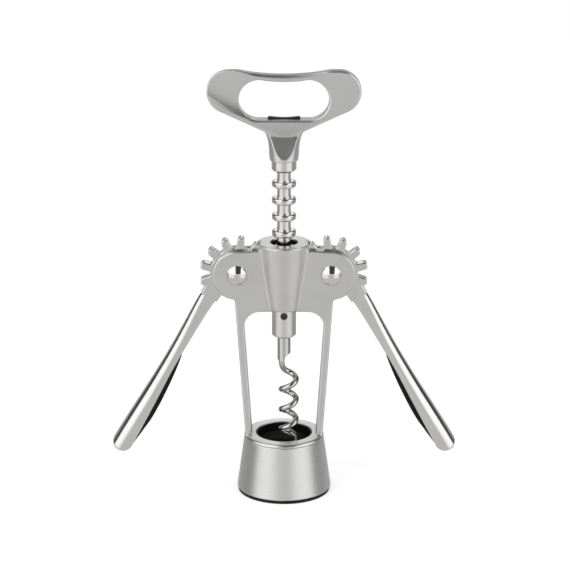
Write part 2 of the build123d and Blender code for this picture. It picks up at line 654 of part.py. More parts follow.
def arm_inner(along):
    """Height of the arm's inner face above the pivot's line, at a distance along the arm."""
    share = along / ARM_LENGTH
    rows = ARM_SECTION_SHARES
    for here, there in zip(rows, rows[1:]):
        if share <= there[0]:
            part = (share - here[0]) / (there[0] - here[0])
            return ARM_THICKNESS * (here[1] + part * (there[1] - here[1]))
    return ARM_THICKNESS * rows[-1][1]


def arm_end_waste():
    """What is cut off the square end of the arm, to leave the rim of a disc with a fully round edge."""
    inner_share, outer_share = ARM_SECTION_SHARES[-1][1:3]
    middle = ARM_THICKNESS * (inner_share + outer_share) / 2
    edge = ARM_THICKNESS * (outer_share - inner_share) / 2
    disc = Cylinder(ARM_END_RADIUS - edge, 2 * edge) + Torus(ARM_END_RADIUS - edge, edge)
    length = ARM_END_RADIUS + OVERRUN
    block = Pos(length / 2) * Box(length, 2 * ARM_DEPTH, 2 * ARM_DEPTH)
    return Pos(ARM_LENGTH - ARM_END_RADIUS, middle) * (block - Rot(90, 0, 0) * disc)


def pad_blank(gap):
    """Rubber pad in the wing's own frame, or its pocket where a gap is given."""
    sections = []
    length = PAD_END - PAD_START
    start_face = arm_inner(PAD_START)
    end_face = arm_inner(PAD_END)
    for length_share, rise_share, width_share in PAD_SECTION_SHARES:
        along = PAD_START - gap + (length + 2 * gap) * length_share
        face = start_face + (end_face - start_face) * length_share
        half = PAD_WIDTH * width_share / 2 + gap
        floor = face + PAD_DEPTH + gap
        crown = face - PAD_RISE * rise_share - gap
        rim = [
            Line((floor, -half), (floor, half)),
            Line((floor, half), (face, half)),
            ThreePointArc((face, half), (crown, 0), (face, -half)),
            Line((face, -half), (floor, -half)),
        ]
        sections.append(Plane((along, 0, 0), x_dir=(0, 1, 0), z_dir=(1, 0, 0)) * make_face(rim))
    return loft(sections)


def wing_place():
    """Frame of the left wing: X along its arm from the pivot, Y outwards, Z to the back."""
    lean = math.radians(WING_ANGLE)
    along = (-math.sin(lean), 0, -math.cos(lean))
    return Plane((-PIVOT_X, 0, PIVOT_Z), x_dir=along, z_dir=(0, 1, 0)).location


def left_lever():
    """Cast wing: toothed hub and a crowned arm with a pocket for its pad."""
    hub = extrude(hub_outline(), HUB_HALF, both=True)
    inner = ARM_THICKNESS * ARM_ROOT_INNER_SHARE
    outer = ARM_THICKNESS * ARM_ROOT_OUTER_SHARE
    sections = [arm_section(ARM_ROOT, inner, outer, HUB_WIDTH)]
    for length_share, inner_share, outer_share, depth_share in ARM_SECTION_SHARES:
        sections.append(arm_section(
            ARM_LENGTH * length_share,
            ARM_THICKNESS * inner_share,
            ARM_THICKNESS * outer_share,
            ARM_DEPTH * depth_share,
        ))
    lever = hub + loft(sections) - arm_end_waste() - pad_blank(SEAT_GAP)
    lever -= Cylinder(RIVET_RADIUS + RUN_GAP, 2 * HUB_WIDTH)
    return wing_place() * lever


def left_grip_pad():
    """Moulded rubber pad in the pocket of the wing's inner face."""
    return wing_place() * pad_blank(0)


def head_points():
    """Outline of a rivet's domed head, from its rim to its crown, above the cheek."""
    ball = (RIVET_HEAD_RADIUS ** 2 + RIVET_HEAD_HEIGHT ** 2) / (2 * RIVET_HEAD_HEIGHT)
    seat = FRAME_FRONT + SEAT_GAP
    half_angle = math.asin(RIVET_HEAD_RADIUS / ball) / 2
    middle = (ball * math.sin(half_angle), seat + RIVET_HEAD_HEIGHT - ball * (1 - math.cos(half_angle)))
    return (RIVET_HEAD_RADIUS, seat), middle, (0, seat + RIVET_HEAD_HEIGHT)


def rivet_solid(stem_points):
    """Domed head with a stem, turned about Z, with the head up."""
    rim, middle, crown = head_points()
    outline = [ThreePointArc(rim, middle, crown), Polyline(crown, *stem_points, rim)]
    return revolve(Plane.XZ * make_face(outline), Axis.Z)


def left_pivot_rivet():
    """Front half of the two-piece rivet: head, journal and tenon."""
    seat = FRAME_FRONT + SEAT_GAP
    journal_end = -SLOT_HALF
    tenon_end = journal_end - RIVET_TENON_LENGTH
    stem = rivet_solid([
        (0, tenon_end),
        (RIVET_TENON_RADIUS, tenon_end),
        (RIVET_TENON_RADIUS, journal_end),
        (RIVET_RADIUS, journal_end),
        (RIVET_RADIUS, seat),
    ])
    return Pos(-PIVOT_X, 0, PIVOT_Z) * Rot(90, 0, 0) * stem


def left_rivet_cap():
    """Rear half of the two-piece rivet: head and sleeve, pressed on the tenon."""
    seat = FRAME_FRONT + SEAT_GAP
    sleeve_end = SLOT_HALF + SEAT_GAP
    bore = RIVET_TENON_RADIUS + SEAT_GAP
    floor = SLOT_HALF + RIVET_TENON_LENGTH + SEAT_GAP
    cap = rivet_solid([
        (0, floor),
        (bore, floor),
        (bore, sleeve_end),
        (RIVET_RADIUS, sleeve_end),
        (RIVET_RADIUS, seat),
    ])
    return Pos(-PIVOT_X, 0, PIVOT_Z) * Rot(-90, 0, 0) * cap


os.makedirs("parts", exist_ok=True)
for make in (
    frame_casting,
    base_skirt,
    bottle_guide,
    guide_bush,
    rack_spindle,
    worm,
    worm_pin,
    handle,
    opener_lip,
    handle_dowel,
):
    export_step(make(), "parts/" + make.__name__ + ".step")
for make in (left_lever, left_grip_pad, left_pivot_rivet, left_rivet_cap):
    left = make()
    name = make.__name__.removeprefix("left_")
    export_step(left, "parts/left_" + name + ".step")
    export_step(mirror(left, Plane.YZ), "parts/right_" + name + ".step")
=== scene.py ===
import math

import bmesh
import bpy
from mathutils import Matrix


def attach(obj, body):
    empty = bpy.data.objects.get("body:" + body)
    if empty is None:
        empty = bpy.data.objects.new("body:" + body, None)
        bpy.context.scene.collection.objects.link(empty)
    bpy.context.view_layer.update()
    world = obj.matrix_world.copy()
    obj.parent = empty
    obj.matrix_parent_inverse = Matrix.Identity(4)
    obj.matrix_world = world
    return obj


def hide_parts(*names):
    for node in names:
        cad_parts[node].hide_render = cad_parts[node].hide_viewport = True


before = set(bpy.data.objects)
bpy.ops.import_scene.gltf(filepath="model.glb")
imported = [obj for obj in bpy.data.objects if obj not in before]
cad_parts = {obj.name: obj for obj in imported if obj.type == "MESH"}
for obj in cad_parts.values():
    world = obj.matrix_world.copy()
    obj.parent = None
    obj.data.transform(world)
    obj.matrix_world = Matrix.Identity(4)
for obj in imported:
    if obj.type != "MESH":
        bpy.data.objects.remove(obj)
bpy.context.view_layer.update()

# Frame casting
# One zinc die casting: two cheeks with a slot between them, a conical barrel, two legs and a ring.
# It is tumbled, shot-blasted and nickel-plated, which leaves an even satin grain.
MM = 0.001
ZINC_PALE = "#E8E8E7"
ZINC_DEEP = "#DADAD9"
PLATING_CLOUD = 14.0 * MM
PLATING_DRIFT = 0.05
BLAST_GRAIN = 0.5 * MM
BLAST_DEPTH = 0.06 * MM
GRAIN_TURN = (0.6, 0.4, 0.9)
SATIN_ROUGHNESS = 0.30
SATIN_GRAIN = 0.12
SATIN_EDGE = 0.75 * MM
EDGE_SAMPLES = 8
# A Mix node's colour sockets share their names with its plain ones, so they go by their places
COLOUR_A = 6
COLOUR_B = 7
COLOUR_OUT = 2


def linear(hex_colour):
    """Linear RGBA of an sRGB hex colour."""
    levels = [int(hex_colour[at:at + 2], 16) / 255 for at in (1, 3, 5)]
    return [x / 12.92 if x <= 0.04045 else ((x + 0.055) / 1.055) ** 2.4 for x in levels] + [1.0]


def add(tree, kind, inputs=None, feeds=None, **settings):
    """Adds a node with its settings, fills or links its inputs, and links its outputs to other sockets.

    A node that is given as an input is linked by its first output.
    """
    node = tree.nodes.new(kind)
    for name, value in settings.items():
        setattr(node, name, value)
    for name, value in (inputs or {}).items():
        if isinstance(value, bpy.types.Node):
            value = value.outputs[0]
        if isinstance(value, bpy.types.NodeSocket):
            tree.links.new(value, node.inputs[name])
        else:
            node.inputs[name].default_value = value
    for name, socket in (feeds or {}).items():
        tree.links.new(node.outputs[name], socket)
    return node


def finish_named(name, **sockets):
    """A new material, with its shader's plain sockets set: the material, its tree and its shader."""
    material = bpy.data.materials.new(name)
    material.use_nodes = True
    shader = material.node_tree.nodes["Principled BSDF"]
    for socket, value in sockets.items():
        shader.inputs[socket.replace("_", " ")].default_value = value
    return material, material.node_tree, shader


def vary(tree, shader, pattern, colours, roughness=None):
    """Lets a finish drift with a pattern, between two colours and, where given, two values of roughness."""
    deep, pale = (linear(colour) for colour in colours)
    base = {COLOUR_OUT: shader.inputs["Base Color"]}
    add(tree, "ShaderNodeMix", {"Factor": pattern, COLOUR_A: deep, COLOUR_B: pale}, base, data_type="RGBA")
    if roughness:
        low, high = roughness
        dulling = {"Value": pattern, "To Min": low, "To Max": high}
        add(tree, "ShaderNodeMapRange", dulling, {"Result": shader.inputs["Roughness"]})


def dress(material, *node_names):
    """Gives CAD nodes a material."""
    for name in node_names:
        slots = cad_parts[name].data.materials
        slots.clear()
        slots.append(material)


def plated_zinc(name, roughness, grain_strength, edge):
    """Plated zinc: a soft grey mirror, broken by fine grain and by faint clouds in the plating."""
    material, tree, shader = finish_named(name, Metallic=1.0)
    own = add(tree, "ShaderNodeTexCoord").outputs["Object"]
    # Turned off the axes, so that no flat face runs along the grain and shows its steps
    place = add(tree, "ShaderNodeMapping", {"Vector": own, "Rotation": GRAIN_TURN})
    cloud = add(tree, "ShaderNodeTexNoise", {"Vector": place, "Scale": 1 / PLATING_CLOUD})
    vary(tree, shader, cloud, (ZINC_DEEP, ZINC_PALE), (roughness - PLATING_DRIFT, roughness + PLATING_DRIFT))
    # The real grain is about 0.15 mm wide, and is drawn coarser so that it shows
    grain = add(tree, "ShaderNodeTexNoise", {"Vector": place, "Scale": 1 / BLAST_GRAIN})
    # Tumbling takes the sharpness off the casting's edges, and they catch a thin line of light
    tumbled = add(tree, "ShaderNodeBevel", {"Radius": edge}, samples=EDGE_SAMPLES)
    add(tree, "ShaderNodeBump", {
        "Height": grain,
        "Strength": grain_strength,
        "Distance": BLAST_DEPTH,
        "Normal": tumbled,
    }, {"Normal": shader.inputs["Normal"]})
    return material


satin_zinc = plated_zinc("satin_nickel_plated_zinc", SATIN_ROUGHNESS, SATIN_GRAIN, SATIN_EDGE)
dress(satin_zinc, "frame_casting")

# Base skirt
# A cone of stainless sheet, spun, brushed round and round, and pressed over the ring's spigot.
# The brushing draws the light out into tall soft bands.
STEEL_PALE = "#E9E9E8"
STEEL_DEEP = "#E1E1E0"
SKIRT_ROUGHNESS = (0.24, 0.30)
SKIRT_ANISOTROPY = 0.55
BRUSH_LINE = 0.35 * MM
BRUSH_LENGTH = 18.0 * MM
BRUSH_STRENGTH = 0.007
BRUSH_DEPTH = 0.03 * MM
LINE_DETAIL = 3.0


def turned_lines(tree, line, length):
    """Fine level lines round an upright axis, as a brush or a lathe leaves them."""
    place = add(tree, "ShaderNodeTexCoord").outputs["Object"]
    stretch = (1 / length, 1 / length, 1 / line)
    spread = add(tree, "ShaderNodeMapping", {"Vector": place, "Scale": stretch})
    return add(tree, "ShaderNodeTexNoise", {"Vector": spread, "Scale": 1.0, "Detail": LINE_DETAIL})


brushed_steel, tree, shader = finish_named(
    "brushed_stainless_sheet",
    Metallic=1.0,
    Anisotropic=SKIRT_ANISOTROPY,
)
# The real brush lines are about 0.05 mm apart, and are drawn coarser so that they show
lines = turned_lines(tree, BRUSH_LINE, BRUSH_LENGTH)
vary(tree, shader, lines, (STEEL_DEEP, STEEL_PALE), SKIRT_ROUGHNESS)
relief = {"Height": lines, "Strength": BRUSH_STRENGTH, "Distance": BRUSH_DEPTH}
add(tree, "ShaderNodeBump", relief, {"Normal": shader.inputs["Normal"]})
around = {"Tangent": shader.inputs["Tangent"]}
add(tree, "ShaderNodeTangent", feeds=around, direction_type="RADIAL", axis="Z")
dress(brushed_steel, "base_skirt")

# Bottle guide and guide bush
# Black plastic mouldings: the guide fills the skirt and its flange is the ring that the tool stands on.
# The bush is pressed on a ledge in the barrel's mouth. Both have the fine matt skin of an etched mould.
# The plastic's own black, drawn deeper as painted shade for the dark inside of the guide's hole
ABS_PAINTED_SHADE_DEEP = "#050506"
ABS_PAINTED_SHADE_PALE = "#0C0C0D"
ABS_ROUGHNESS = (0.42, 0.62)
MOULD_GRAIN = 0.3 * MM
MOULD_STRENGTH = 0.25
MOULD_DEPTH = 0.05 * MM
MOULD_DETAIL = 2.0

black_abs_painted_shade, tree, shader = finish_named("etched_black_abs_painted_shade", IOR=1.54, Specular_IOR_Level=0.3)
place = add(tree, "ShaderNodeTexCoord").outputs["Object"]
grain = add(tree, "ShaderNodeTexNoise", {"Vector": place, "Scale": 1 / MOULD_GRAIN, "Detail": MOULD_DETAIL})
vary(tree, shader, grain, (ABS_PAINTED_SHADE_DEEP, ABS_PAINTED_SHADE_PALE), ABS_ROUGHNESS)
relief = {"Height": grain, "Strength": MOULD_STRENGTH, "Distance": MOULD_DEPTH}
add(tree, "ShaderNodeBump", relief, {"Normal": shader.inputs["Normal"]})
dress(black_abs_painted_shade, "bottle_guide", "guide_bush")

# Rack spindle
# A steel bar, turned on a lathe to its rings, collar and tang, and nickel-plated.
# It is a bright mirror with fine level turning lines, and satin on the plain lower end.
NICKEL_PALE = "#EDECEA"
NICKEL_DEEP = "#DAD9D8"
TURNED_ROUGHNESS = 0.13
SATIN_END_ROUGHNESS = 0.34
SATIN_END_TOP = 95.0 * MM
SATIN_FADE = 2.0 * MM
TURNING_LINE = 0.3 * MM
TURNING_LENGTH = 30.0 * MM
TURNING_DULLING = 0.10
TURNING_STRENGTH = 0.06
TURNING_DEPTH = 0.02 * MM

turned_nickel, tree, shader = finish_named("turned_nickel_plated_steel", Metallic=1.0)
# The real turning lines are about 0.1 mm apart, and are drawn coarser so that they show
lines = turned_lines(tree, TURNING_LINE, TURNING_LENGTH)
vary(tree, shader, lines, (NICKEL_DEEP, NICKEL_PALE))
place = add(tree, "ShaderNodeTexCoord").outputs["Object"]
height = add(tree, "ShaderNodeSeparateXYZ", {"Vector": place}).outputs["Z"]
blasted = add(tree, "ShaderNodeMapRange", {
    "Value": height,
    "From Min": SATIN_END_TOP,
    "From Max": SATIN_END_TOP - SATIN_FADE,
    "To Min": TURNED_ROUGHNESS,
    "To Max": SATIN_END_ROUGHNESS,
})
add(tree, "ShaderNodeMath", {
    0: lines,
    1: TURNING_DULLING,
    2: blasted,
}, {"Value": shader.inputs["Roughness"]}, operation="MULTIPLY_ADD")
relief = {"Height": lines, "Strength": TURNING_STRENGTH, "Distance": TURNING_DEPTH}
add(tree, "ShaderNodeBump", relief, {"Normal": shader.inputs["Normal"]})
dress(turned_nickel, "rack_spindle")

# Worm and its cross pin
# Steel wire, coiled, ground to a point and polished, held in the spindle by a pin across it.
# The wire is a clear mirror with faint rubbed patches. The pin's end is drawn dark reddish grey, as painted
# shade of the shallow hollow that it sits in.
WIRE_PALE = "#DAD9D7"
WIRE_DEEP = "#C4C3C1"
WIRE_ROUGHNESS = (0.05, 0.13)
RUBBED_PATCH = 3.0 * MM
RUBBED_STRENGTH = 0.03
RUBBED_DEPTH = 0.04 * MM
RUBBED_DETAIL = 4.0
# Painted shade: the pin's dark colour stands in for the shade of the hollow that it sits in
PIN_PAINTED_SHADE_PALE = "#6B5A5A"
PIN_PAINTED_SHADE_DEEP = "#3A2E2F"
PIN_ROUGHNESS = (0.25, 0.45)
PIN_PATCH = 1.2 * MM
PIN_DETAIL = 3.0

bright_wire, tree, shader = finish_named("polished_steel_wire", Metallic=1.0)
place = add(tree, "ShaderNodeTexCoord").outputs["Object"]
patches = {"Vector": place, "Scale": 1 / RUBBED_PATCH, "Detail": RUBBED_DETAIL}
rubbed = add(tree, "ShaderNodeTexNoise", patches)
vary(tree, shader, rubbed, (WIRE_DEEP, WIRE_PALE), WIRE_ROUGHNESS)
relief = {"Height": rubbed, "Strength": RUBBED_STRENGTH, "Distance": RUBBED_DEPTH}
add(tree, "ShaderNodeBump", relief, {"Normal": shader.inputs["Normal"]})
dress(bright_wire, "worm")

# The pin's darkness is painted shade of its hollow, not a finish of the steel
pin_steel_painted_shade, tree, shader = finish_named("pin_steel_painted_recess_shade", Metallic=1.0)
place = add(tree, "ShaderNodeTexCoord").outputs["Object"]
patches = {"Vector": place, "Scale": 1 / PIN_PATCH, "Detail": PIN_DETAIL}
uneven = add(tree, "ShaderNodeTexNoise", patches)
vary(tree, shader, uneven, (PIN_PAINTED_SHADE_DEEP, PIN_PAINTED_SHADE_PALE), PIN_ROUGHNESS)
dress(pin_steel_painted_shade, "worm_pin")

# Handle, opener lip and dowel
# The loop is a zinc die casting with the frame's finish, pinned on the spindle's tang by a steel dowel.
# A strip of hardened steel is set in the lower edge of its hole, to take the edge of a crown cap.
# The strip is drawn dark grey as painted reflection of the dark studio in front of it that its face mirrors,
# with the fine lines that rolling leaves.
BAR_FOOT = 193.4 * MM
BAR_TOP = 194.4 * MM
BAR_RAISE = 1.3 * MM
BAR_REACH = 22.0 * MM
BAR_FADE_POWER = 1.5
SADDLE_RADIUS = 64.0 * MM
MERGE_DISTANCE = 0.001 * MM
# Painted reflection: the strip's dark grey stands in for the dark side of the studio that its face mirrors
STRIP_PAINTED_REFLECTION_PALE = "#5C5C5E"
STRIP_PAINTED_REFLECTION_DEEP = "#3E3E40"
HARDENED_ROUGHNESS = (0.28, 0.42)
ROLLED_LINE = 0.4 * MM
ROLLED_STRENGTH = 0.10
ROLLED_DEPTH = 0.03 * MM

# The real bar over the hole stands 1.3 mm higher than in the solid, so the loop is drawn again
# from its solid with the bar's top raised, and keeps the solid's own shading
loop_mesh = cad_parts["handle"].data.copy()
cast_normals = loop_mesh.attributes.new("cast_normal", "FLOAT_VECTOR", "CORNER")
directions = [part for corner in loop_mesh.corner_normals for part in corner.vector]
cast_normals.data.foreach_set("vector", directions)
shell = bmesh.new()
shell.from_mesh(loop_mesh)
bmesh.ops.remove_doubles(shell, verts=shell.verts, dist=MERGE_DISTANCE)
for point in shell.verts:
    near_middle = max(0.0, 1 - (point.co.x / BAR_REACH) ** 2) ** BAR_FADE_POWER
    foot = BAR_FOOT + point.co.x ** 2 / (2 * SADDLE_RADIUS)
    up_the_bar = min(1.0, max(0.0, (point.co.z - foot) / (BAR_TOP - BAR_FOOT)))
    point.co.z += BAR_RAISE * near_middle * up_the_bar
shell.to_mesh(loop_mesh)
shell.free()
cast_normals = loop_mesh.attributes["cast_normal"]
loop_mesh.normals_split_custom_set([list(corner.vector) for corner in cast_normals.data])
loop_mesh.attributes.remove(cast_normals)
loop_mesh.materials.clear()
loop_mesh.materials.append(satin_zinc)
loop = bpy.data.objects.new("loop_handle", loop_mesh)
bpy.context.scene.collection.objects.link(loop)
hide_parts("handle")
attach(loop, "spindle")

# Its dark colour is painted reflection of the dark studio, not the steel's own grey
strip_painted_reflection, tree, shader = finish_named("steel_strip_painted_dark_reflection", Metallic=1.0)
# The real rolling lines are about 0.1 mm apart, and are drawn coarser so that they show
lines = turned_lines(tree, ROLLED_LINE, BRUSH_LENGTH)
vary(tree, shader, lines, (STRIP_PAINTED_REFLECTION_DEEP, STRIP_PAINTED_REFLECTION_PALE), HARDENED_ROUGHNESS)
relief = {"Height": lines, "Strength": ROLLED_STRENGTH, "Distance": ROLLED_DEPTH}
add(tree, "ShaderNodeBump", relief, {"Normal": shader.inputs["Normal"]})
dress(strip_painted_reflection, "opener_lip")
dress(turned_nickel, "handle_dowel")

# Wings
# Two zinc die castings with a toothed hub. They are polished before plating, so that they are smoother
# than the frame, with only a trace of the casting's grain.
POLISHED_ROUGHNESS = 0.14
POLISHED_GRAIN = 0.04
POLISHED_EDGE = 1.0 * MM

polished_zinc = plated_zinc("polished_nickel_plated_zinc", POLISHED_ROUGHNESS, POLISHED_GRAIN, POLISHED_EDGE)
dress(polished_zinc, "left_lever", "right_lever")

# Grip pads
# Black rubber mouldings in pockets on the inside of the wings. Each is a loaf with a flat seat, a low
# crown that swells towards the end of the wing, and a fine matt skin.
PIVOT_X = 21.1 * MM
PIVOT_Z = 104.0 * MM
WING_LEAN = math.radians(30)
PAD_RISE_SHARES = ((0.0, 0.28), (0.2, 0.70), (0.4, 0.92), (0.6, 1.0), (0.8, 0.68), (1.0, 0.12))
PAD_WIDTH_SHARES = ((0.0, 0.78), (0.2, 0.86), (0.4, 0.94), (0.6, 1.0), (0.8, 1.0), (1.0, 0.90))
PAD_CROWN_POWER = 2.0
PAD_SEAT_POWER = 0.3
PAD_SIDES = 64
PAD_STEPS = 60
PAD_SHARP_ANGLE = math.radians(40)
# The rubber's own black, drawn deeper as painted shade for the pads' faces, which turn inwards and down
RUBBER_PAINTED_SHADE_PALE = "#080809"
RUBBER_PAINTED_SHADE_DEEP = "#030304"
RUBBER_ROUGHNESS = (0.50, 0.70)
RUBBER_BLOOM = 6.0 * MM
BLOOM_DETAIL = 3.0
RUBBER_GRAIN = 0.35 * MM
RUBBER_STRENGTH = 0.30

black_rubber_painted_shade, tree, shader = finish_named("moulded_black_rubber_painted_shade", IOR=1.52, Specular_IOR_Level=0.12)
place = add(tree, "ShaderNodeTexCoord").outputs["Object"]
bloom = add(tree, "ShaderNodeTexNoise", {"Vector": place, "Scale": 1 / RUBBER_BLOOM, "Detail": BLOOM_DETAIL})
vary(tree, shader, bloom, (RUBBER_PAINTED_SHADE_DEEP, RUBBER_PAINTED_SHADE_PALE), RUBBER_ROUGHNESS)
grain = add(tree, "ShaderNodeTexNoise", {"Vector": place, "Scale": 1 / RUBBER_GRAIN, "Detail": MOULD_DETAIL})
relief = {"Height": grain, "Strength": RUBBER_STRENGTH, "Distance": MOULD_DEPTH}
add(tree, "ShaderNodeBump", relief, {"Normal": shader.inputs["Normal"]})

loaf = bpy.data.node_groups.new("grip_pad", "GeometryNodeTree")
pad_sizes = {
    "Side": -1.0,
    "Start": 47.0 * MM,
    "Length": 49.0 * MM,
    "Width": 9.6 * MM,
    "Rise": 2.7 * MM,
    "Seat depth": 0.85 * MM,
    "Face at start": 2.995 * MM,
    "Face at end": 1.253 * MM,
}
pad_sockets = {}
for name in pad_sizes:
    made = loaf.interface.new_socket(name, in_out="INPUT", socket_type="NodeSocketFloat")
    pad_sockets[name] = made.identifier
loaf.interface.new_socket("Pad", in_out="OUTPUT", socket_type="NodeSocketGeometry")
size = add(loaf, "NodeGroupInput").outputs

# Each point of a cylinder of radius 1 and length 1 is moved to its place on the pad
blank = add(loaf, "GeometryNodeMeshCylinder", {
    "Vertices": PAD_SIDES,
    "Side Segments": PAD_STEPS,
    "Radius": 1.0,
    "Depth": 1.0,
}, fill_type="TRIANGLE_FAN")
at = add(loaf, "ShaderNodeSeparateXYZ", {"Vector": add(loaf, "GeometryNodeInputPosition")}).outputs
along = add(loaf, "ShaderNodeMath", {0: at["Z"], 1: 0.5}, operation="ADD")

# Width and rise along the pad: smooth lines through listed places
share = {}
for name, places in (("Width", PAD_WIDTH_SHARES), ("Rise", PAD_RISE_SHARES)):
    line = add(loaf, "ShaderNodeFloatCurve", {"Value": along})
    curve = line.mapping.curves[0]
    curve.points[0].location = places[0]
    curve.points[1].location = places[-1]
    for place in places[1:-1]:
        curve.points.new(*place)
    line.mapping.update()
    share[name] = line
width = add(loaf, "ShaderNodeMath", {0: size["Width"], 1: share["Width"]}, operation="MULTIPLY")
half_width = add(loaf, "ShaderNodeMath", {0: width, 1: 0.5}, operation="MULTIPLY")
rise = add(loaf, "ShaderNodeMath", {0: size["Rise"], 1: share["Rise"]}, operation="MULTIPLY")

# Height of the section: a low crown above, and a flat seat with tight corners below
above = add(loaf, "ShaderNodeMath", {0: at["Y"], 1: 0.0}, operation="GREATER_THAN")
below = add(loaf, "ShaderNodeMath", {0: 1.0, 1: above}, operation="SUBTRACT")
off_seam = add(loaf, "ShaderNodeMath", {0: at["Y"]}, operation="ABSOLUTE")
crown = add(loaf, "ShaderNodeMath", {0: off_seam, 1: PAD_CROWN_POWER}, operation="POWER")
crown = add(loaf, "ShaderNodeMath", {0: rise, 1: crown}, operation="MULTIPLY")
crown = add(loaf, "ShaderNodeMath", {0: crown, 1: above}, operation="MULTIPLY")
seat = add(loaf, "ShaderNodeMath", {0: off_seam, 1: PAD_SEAT_POWER}, operation="POWER")
seat = add(loaf, "ShaderNodeMath", {0: size["Seat depth"], 1: seat}, operation="MULTIPLY")
seat = add(loaf, "ShaderNodeMath", {0: seat, 1: below}, operation="MULTIPLY")
height = add(loaf, "ShaderNodeMath", {0: crown, 1: seat}, operation="SUBTRACT")

# Place across the section: round above, and drawn out to the seat's corners below
off_middle = add(loaf, "ShaderNodeMath", {0: at["X"]}, operation="ABSOLUTE")
to_side = add(loaf, "ShaderNodeMath", {0: at["X"]}, operation="SIGN")
square = add(loaf, "ShaderNodeMath", {0: off_middle, 1: PAD_SEAT_POWER}, operation="POWER")
square = add(loaf, "ShaderNodeMath", {0: square, 1: to_side}, operation="MULTIPLY")
rounding = add(loaf, "ShaderNodeMath", {0: at["X"], 1: square}, operation="SUBTRACT")
across = add(loaf, "ShaderNodeMath", {0: rounding, 1: above, 2: square}, operation="MULTIPLY_ADD")
across = add(loaf, "ShaderNodeMath", {0: half_width, 1: across}, operation="MULTIPLY")

# From the wing's own directions, down it and out of its face, to the tool's
down_wing = add(loaf, "ShaderNodeMath", {
    0: size["Length"],
    1: along,
    2: size["Start"],
}, operation="MULTIPLY_ADD")
taper = add(loaf, "ShaderNodeMath", {0: size["Face at end"], 1: size["Face at start"]}, operation="SUBTRACT")
face = add(loaf, "ShaderNodeMath", {0: taper, 1: along, 2: size["Face at start"]}, operation="MULTIPLY_ADD")
out = add(loaf, "ShaderNodeMath", {0: face, 1: height}, operation="SUBTRACT")
away = add(loaf, "ShaderNodeMath", {0: out, 1: math.cos(WING_LEAN)}, operation="MULTIPLY")
away = add(loaf, "ShaderNodeMath", {0: down_wing, 1: math.sin(WING_LEAN), 2: away}, operation="MULTIPLY_ADD")
away = add(loaf, "ShaderNodeMath", {0: away, 1: PIVOT_X}, operation="ADD")
sideways = add(loaf, "ShaderNodeMath", {0: size["Side"], 1: away}, operation="MULTIPLY")
climb = add(loaf, "ShaderNodeMath", {0: out, 1: math.sin(WING_LEAN)}, operation="MULTIPLY")
drop = add(loaf, "ShaderNodeMath", {0: down_wing, 1: math.cos(WING_LEAN)}, operation="MULTIPLY")
up = add(loaf, "ShaderNodeMath", {0: climb, 1: drop}, operation="SUBTRACT")
up = add(loaf, "ShaderNodeMath", {0: up, 1: PIVOT_Z}, operation="ADD")
spot = add(loaf, "ShaderNodeCombineXYZ", {"X": sideways, "Y": across, "Z": up})
shaped = add(loaf, "GeometryNodeSetPosition", {"Geometry": blank, "Position": spot})
realized = add(loaf, "GeometryNodeRealizeInstances", {"Geometry": shaped})
coated = add(loaf, "GeometryNodeSetMaterial", {"Geometry": realized, "Material": black_rubber_painted_shade})
add(loaf, "NodeGroupOutput", {"Pad": coated})

for side, wing in ((-1.0, "left"), (1.0, "right")):
    blank_mesh = bpy.data.meshes.new(wing + "_grip")
    maker = bpy.data.objects.new(wing + "_grip_maker", blank_mesh)
    bpy.context.scene.collection.objects.link(maker)
    modifier = maker.modifiers.new("pad", "NODES")
    modifier.node_group = loaf
    for name, value in pad_sizes.items():
        modifier[pad_sockets[name]] = side if name == "Side" else value
    depsgraph = bpy.context.evaluated_depsgraph_get()
    mesh = bpy.data.meshes.new_from_object(maker.evaluated_get(depsgraph))
    bpy.data.objects.remove(maker)
    shell = bmesh.new()
    shell.from_mesh(mesh)
    bmesh.ops.remove_doubles(shell, verts=shell.verts, dist=MERGE_DISTANCE)
    bmesh.ops.recalc_face_normals(shell, faces=shell.faces)
    shell.to_mesh(mesh)
    shell.free()
    mesh.polygons.foreach_set("use_smooth", [True] * len(mesh.polygons))
    mesh.set_sharp_from_angle(angle=PAD_SHARP_ANGLE)
    pad = bpy.data.objects.new(wing + "_rubber_grip", mesh)
    bpy.context.scene.collection.objects.link(pad)
    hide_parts(wing + "_grip_pad")
    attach(pad, wing + "_wing")

# Pivot rivets
# Two-piece rivets of steel, domed, plated and polished to a clear mirror with faint rubbed patches.
# Each wing turns on one.
RIVET_ROUGHNESS = (0.04, 0.10)

polished_rivet, tree, shader = finish_named("polished_nickel_plated_steel", Metallic=1.0)
place = add(tree, "ShaderNodeTexCoord").outputs["Object"]
patches = {"Vector": place, "Scale": 1 / RUBBED_PATCH, "Detail": RUBBED_DETAIL}
rubbed = add(tree, "ShaderNodeTexNoise", patches)
vary(tree, shader, rubbed, (NICKEL_DEEP, NICKEL_PALE), RIVET_ROUGHNESS)
dress(polished_rivet, "left_pivot_rivet", "right_pivot_rivet", "left_rivet_cap", "right_rivet_cap")

# Stage
# A floor of white paper that keeps a faint shadow, two softboxes at the front and a weak one above.
# Metal doesn't mirror the softboxes. It sees the studio in the world, white at the front with a dark gap
# for the camera and dark sides, and one white card behind the tool.
FLOOR_SIZE = 6.0
FLOOR_WHITE = "#F4F4F4"
FLOOR_ROUGHNESS = 0.9
FLOOR_GLOW = 0.45

